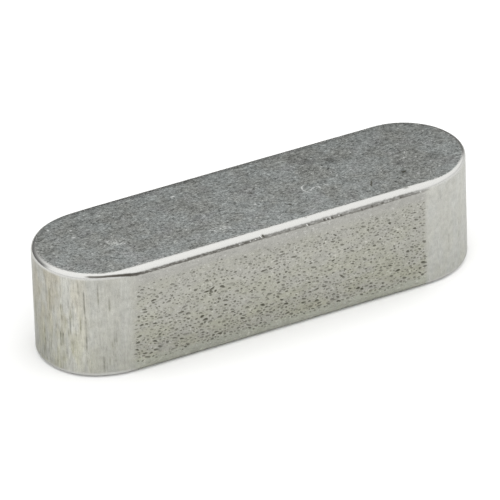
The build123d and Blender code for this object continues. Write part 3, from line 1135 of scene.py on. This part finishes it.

    # a thin ragged dark line where a drawn corner runs out on the flank: partly scale left there, partly painted
    # shade for the dark reflection along the corner.
    # it wanders a little in depth, thickness and strength along the key, and runs
    # on round the rim of one end
    along = N.math("MULTIPLY", X, N.math("MULTIPLY", N.math("SIGN", Y), -1.0))
    path = N.new("ShaderNodeValToRGB")
    LO, HI = -12.6, 10.0
    N.put(path.inputs[0], N.line(along, LO, HI, 0.0, 1.0))
    path.color_ramp.interpolation = "LINEAR"
    LINE = [
        # place along the key, depth below the face, half thickness, strength
        (-12.45, 0.120, 0.020, 0.0), (-12.15, 0.125, 0.038, 0.85), (-11.2, 0.140, 0.040, 0.95), (-10.5, 0.172, 0.048, 1.0),
        (-10.0, 0.250, 0.064, 1.0), (-9.5, 0.350, 0.070, 1.0), (-9.0, 0.356, 0.066, 0.90), (-8.0, 0.352, 0.066, 0.86),
        (-6.0, 0.350, 0.064, 0.90), (-3.6, 0.352, 0.072, 0.90), (-2.0, 0.350, 0.070, 0.82), (0.0, 0.350, 0.074, 0.72),
        (3.0, 0.345, 0.084, 0.68), (4.4, 0.345, 0.090, 0.66), (5.4, 0.362, 0.098, 0.66), (6.6, 0.345, 0.092, 0.68),
        (7.3, 0.338, 0.082, 0.74), (8.9, 0.340, 0.076, 0.70), (9.6, 0.355, 0.052, 0.40),
        (10.0, 0.380, 0.040, 0.0),
    ]
    els = path.color_ramp.elements
    while len(els) < len(LINE):
        els.new(0.5)
    for e_, (x_, d_, h_, k_) in zip(els, LINE):
        e_.position = (x_ - LO) / (HI - LO)
    for e_, (x_, d_, h_, k_) in zip(els, LINE):
        e_.color = (d_, h_, k_, 1.0)
    psep = N.new("ShaderNodeSeparateColor")
    t.links.new(path.outputs[0], psep.inputs[0])
    l_d, l_h, l_k = psep.outputs[0], N.math("MULTIPLY", psep.outputs[1], 1.45), psep.outputs[2]
    rag = N.noise(P, 1.0, 3.0, 0.70, stretch=(6.5, 5.0, 5.0), offset=(11, 3, 8))
    rag2 = N.noise(P, 1.0, 2.0, 0.5, stretch=(1.1, 1.0, 1.0), offset=(17, 3, 2))
    rag3 = N.noise(P, 1.0, 2.0, 0.6, stretch=(3.2, 4.0, 9.0), offset=(27, 3, 2))
    depth_z = N.math("SUBTRACT", HT / 2, zz)             # below the upper broad face
    off = N.math("ABSOLUTE", N.math("SUBTRACT", depth_z, N.math("ADD", l_d, centred(rag2, 0.03))))
    firm = N.ramp(along, -9.9, -8.9, 1.0, 0.0)           # at one end the line is solid
    half = N.math("MULTIPLY", l_h, total(1.0, N.math("MULTIPLY", centred(rag, 1.4), N.math("SUBTRACT", 1.0, N.math("MULTIPLY", firm, 0.7)))))
    rel = N.math("DIVIDE", off, half)
    scale_and_shade_line = N.ramp(rel, 0.55, 1.35, 1.0, 0.0)
    scale_and_shade_line = N.math("MULTIPLY", scale_and_shade_line, l_k)
    scale_and_shade_line = N.math("MULTIPLY", scale_and_shade_line, N.ramp(ay, 1.6, 2.3))
    scale_and_shade_line = N.math("MULTIPLY", scale_and_shade_line, N.math("MAXIMUM", firm, N.ramp(rag3, 0.28, 0.55, 0.50, 1.0)), clamp=True)
    # the scale line, with its painted shade, goes into the colour here
    col = N.colour(scale_and_shade_line, col, (0.075, 0.070, 0.060, 1))

    # nicks along the line: dark flecks, partly scale and partly painted shade like the line, and bright flecks beside
    # them, which are painted highlights. place, height, half sizes, slope, strength
    turned_by = {0.0: P}

    def spots(rows, at_y):
        m_all = 0.0
        for x_, z_, a_, b_, turn, k in rows:
            c_, s_ = math.cos(turn), math.sin(turn)
            if turn not in turned_by:
                turned_by[turn] = N.combine(N.along(P, (c_, 0.0, s_)), Y, N.along(P, (-s_, 0.0, c_)))
            gap = N.away(turned_by[turn], (c_ * x_ + s_ * (z_ + Z0), at_y, c_ * (z_ + Z0) - s_ * x_), (a_, 2.0, b_))
            m_all = N.math("MAXIMUM", m_all, N.ramp(gap, 0.55, 1.10, k, 0.0))
        return m_all

    slant = -0.95
    scale_and_shade_flecks = spots([
        (-1.16, 6.73, 0.15, 0.055, slant, 0.95), (-2.32, 6.64, 0.16, 0.060, 0.0, 0.55), (1.84, 6.62, 0.10, 0.058, slant, 0.78),
        (2.87, 6.63, 0.12, 0.062, slant, 0.85), (3.12, 6.62, 0.11, 0.055, slant, 0.85), (3.39, 6.62, 0.14, 0.068, slant, 0.92),
        (3.98, 6.62, 0.11, 0.060, slant, 0.80), (4.55, 6.62, 0.08, 0.050, slant, 0.45), (5.36, 6.60, 0.13, 0.065, slant, 0.65),
        (5.66, 6.60, 0.13, 0.055, 0.0, 0.55), (6.05, 6.61, 0.13, 0.070, slant, 0.68), (6.38, 6.61, 0.10, 0.050, 0.0, 0.60),
        (6.74, 6.63, 0.13, 0.060, 0.0, 0.80), (7.96, 6.63, 0.09, 0.060, slant, 0.75), (8.50, 6.985, 0.18, 0.022, 0.0, 0.45),
        (1.80, 6.985, 0.10, 0.022, 0.0, 0.25), (-5.05, 6.66, 0.10, 0.050, slant, 0.40), (-7.30, 6.67, 0.12, 0.050, 0.0, 0.40),
        (0.55, 6.64, 0.10, 0.050, slant, 0.40),
    ], -HY)
    painted_glints = spots([
        (-1.32, 6.73, 0.16, 0.034, slant, 0.80), (-2.75, 6.66, 0.06, 0.036, slant, 0.40), (-2.03, 6.66, 0.07, 0.034, slant, 0.60),
        (-1.68, 6.67, 0.07, 0.034, slant, 0.60), (1.72, 6.64, 0.12, 0.036, slant, 0.55), (2.76, 6.66, 0.05, 0.030, slant, 0.45),
        (3.00, 6.66, 0.06, 0.032, slant, 0.70), (3.25, 6.65, 0.06, 0.032, slant, 0.70), (3.83, 6.65, 0.06, 0.032, slant, 0.65),
        (7.15, 6.64, 0.06, 0.036, slant, 0.40), (-4.10, 6.66, 0.05, 0.034, slant, 0.30), (-6.20, 6.66, 0.05, 0.034, slant, 0.30),
        (9.30, 6.62, 0.08, 0.038, slant, 0.45),
    ], -HY)
    # the dark flecks: scale and painted shade
    col = N.colour(scale_and_shade_flecks, col, (0.080, 0.075, 0.065, 1))
    # the bright flecks: painted highlights on the nicks
    col = N.colour(painted_glints, col, (0.80, 0.80, 0.78, 1))

    # darker over and between the closest pits
    pit_cluster_dark = spots([
        (-4.98, 4.12, 0.22, 0.070, 0.0, 0.80), (-4.66, 4.20, 0.24, 0.080, 0.30, 0.78), (-4.74, 4.02, 0.12, 0.19, 0.0, 0.70),
        (-4.43, 4.00, 0.11, 0.090, 0.0, 0.70), (-5.36, 2.52, 0.13, 0.100, 0.0, 0.60),
    ], -HY)
    col = N.colour(pit_cluster_dark, col, (0.115, 0.113, 0.090, 1))

    # pits are painted dark, partly for dirt in them and partly as painted shade in the hollows; scuffs are bare
    col = N.colour(N.math("MULTIPLY", pit_a, 0.90, clamp=True), col, (0.070, 0.068, 0.050, 1))
    col = N.colour(N.math("MULTIPLY", mark_a, 0.95, clamp=True), col, (0.97, 0.98, 0.96, 1))
    t.links.new(col, bsdf.inputs["Base Color"])

    # --- roughness ---
    r_top = total(0.38, centred(fine, 0.25), centred(blot, 0.10))
    r_flank = total(0.28, centred(drawn_fine, 0.20), centred(skin, 0.12))
    r_end = total(0.27, centred(st1, 0.20))
    r = N.mix(side, 0.18, N.mix(end_x, r_flank, r_end))
    r = N.mix(broad, r, r_top)
    r = N.math("ADD", r, N.math("MULTIPLY", scale_and_shade_line, 0.25))
    r = N.math("ADD", r, N.math("MULTIPLY", pit_a, 0.25), clamp=True)
    t.links.new(r, bsdf.inputs["Roughness"])

    # --- bump: grain of each finish ---
    h_top = N.math("MULTIPLY", total(fine, N.math("MULTIPLY", fine2, 0.6), N.math("MULTIPLY", speck, 0.6)), 0.0145)
    h_flank = N.math("MULTIPLY", total(N.math("MULTIPLY", drawn_fine, 0.6), N.math("MULTIPLY", fine, 0.8)), 0.0035)
    h_end = N.math("MULTIPLY", total(st1, N.math("MULTIPLY", st3, 0.6)), 0.0045)
    h_round = N.math("MULTIPLY", drawn_fine, 0.0006)
    hh = N.mix(side, h_round, N.mix(end_x, h_flank, h_end))
    hh = N.mix(broad, hh, h_top)
    hh = N.math("SUBTRACT", hh, N.math("MULTIPLY", scale_and_shade_line, 0.005))
    bump = N.new("ShaderNodeBump")
    bump.inputs["Strength"].default_value = 1.0
    bump.inputs["Distance"].default_value = MM
    t.links.new(hh, bump.inputs["Height"])
    t.links.new(bump.outputs[0], bsdf.inputs["Normal"])
    return mat


key.data.materials.append(steel())
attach(key, "root")
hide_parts("parallel_key")


# ---------------------------------------------------------------------------
# 6. floor, light, camera
# ---------------------------------------------------------------------------
def floor():
    n, rad = 96, 1.7
    pts = [(0.0, 0.0, -0.00001)]
    rings = [0.05, 0.2, 0.5, 1.0, rad]
    fs = []
    for r in rings:
        for i in range(n):
            a = 2 * math.pi * i / n
            pts.append((r * math.cos(a), r * math.sin(a), -0.00001))
    for i in range(n):
        fs.append((0, 1 + i, 1 + (i + 1) % n))
    for k in range(len(rings) - 1):
        for i in range(n):
            j = (i + 1) % n
            fs.append((1 + k * n + i, 1 + (k + 1) * n + i, 1 + (k + 1) * n + j, 1 + k * n + j))
    m = bpy.data.meshes.new("floor")
    m.from_pydata(pts, [], fs)
    o = bpy.data.objects.new("floor", m)
    bpy.context.scene.collection.objects.link(o)
    mat = bpy.data.materials.new("pale_floor")
    mat.use_nodes = True
    b = mat.node_tree.nodes["Principled BSDF"]
    b.inputs["Base Color"].default_value = (0.95, 0.95, 0.945, 1)
    b.inputs["Roughness"].default_value = 0.9
    b.inputs["Specular IOR Level"].default_value = 0.1
    m.materials.append(mat)
    return o


floor()

scene = bpy.context.scene
world = bpy.data.worlds.new("soft_studio")
scene.world = world
world.use_nodes = True
wt = world.node_tree
wt.nodes.clear()
W = Nodes(wt)
wout = W.new("ShaderNodeOutputWorld")
bg = W.new("ShaderNodeBackground")
wt.links.new(bg.outputs[0], wout.inputs[0])
wtc = W.new("ShaderNodeTexCoord")
wsep = W.new("ShaderNodeSeparateXYZ")
wt.links.new(wtc.outputs["Generated"], wsep.inputs[0])


def sky_ramp(stops):
    n = W.new("ShaderNodeValToRGB")
    wt.links.new(wsep.outputs[2], n.inputs[0])
    els = n.color_ramp.elements
    while len(els) < len(stops):
        els.new(0.5)
    for e, (p, v) in zip(els, stops):
        e.position = p
    for e, (p, v) in zip(els, stops):
        e.color = (v, v, v, 1)
    return n.outputs[0]


# brightness by height in the sky: the open side of the studio is pale down to the
# horizon, the far side is dim below a broad soft light overhead
open_side = sky_ramp([(0.0, 0.56), (0.15, 0.64), (0.35, 0.83), (0.60, 0.86), (1.0, 0.90)])
far_side = sky_ramp([(0.0, 0.14), (0.30, 0.15), (0.50, 0.25), (0.62, 0.46), (0.78, 0.86), (1.0, 0.90)])
toward = W.math("MULTIPLY", wsep.outputs[1], -1.0)
wt.links.new(W.colour(W.ramp(toward, -0.62, -0.38), far_side, open_side), bg.inputs["Color"])
bg.inputs["Strength"].default_value = 1.70

# the camera stands where the picture was taken from: a long lens, looking down
AZ, EL, ROLL = math.radians(-26.0808), math.radians(31.1397), math.radians(-2.0357)
DIST, TX, TY, FPX = 59.2264, 0.01380, 0.01543, 8000.0
UNIT = 0.008
back = Vector((math.sin(AZ) * math.cos(EL), -math.cos(AZ) * math.cos(EL), math.sin(EL)))
right = (-back).cross(Vector((0, 0, 1))).normalized()
up = right.cross(-back)
r2 = right * math.cos(ROLL) + up * math.sin(ROLL)
u2 = right * -math.sin(ROLL) + up * math.cos(ROLL)
cam_data = bpy.data.cameras.new("camera")
cam = bpy.data.objects.new("camera", cam_data)
scene.collection.objects.link(cam)
centre = Vector((0, 0, 0.0035))
loc = centre + UNIT * (back * DIST - r2 * TX - u2 * TY)
rot = Matrix((r2, u2, back)).transposed()
cam.matrix_world = Matrix.Translation(loc) @ rot.to_4x4()
cam_data.sensor_width = 36.0
cam_data.lens = FPX * 36.0 / 500.0
cam_data.clip_start, cam_data.clip_end = 0.01, 10.0
scene.camera = cam
scene.view_settings.view_transform = "Standard"
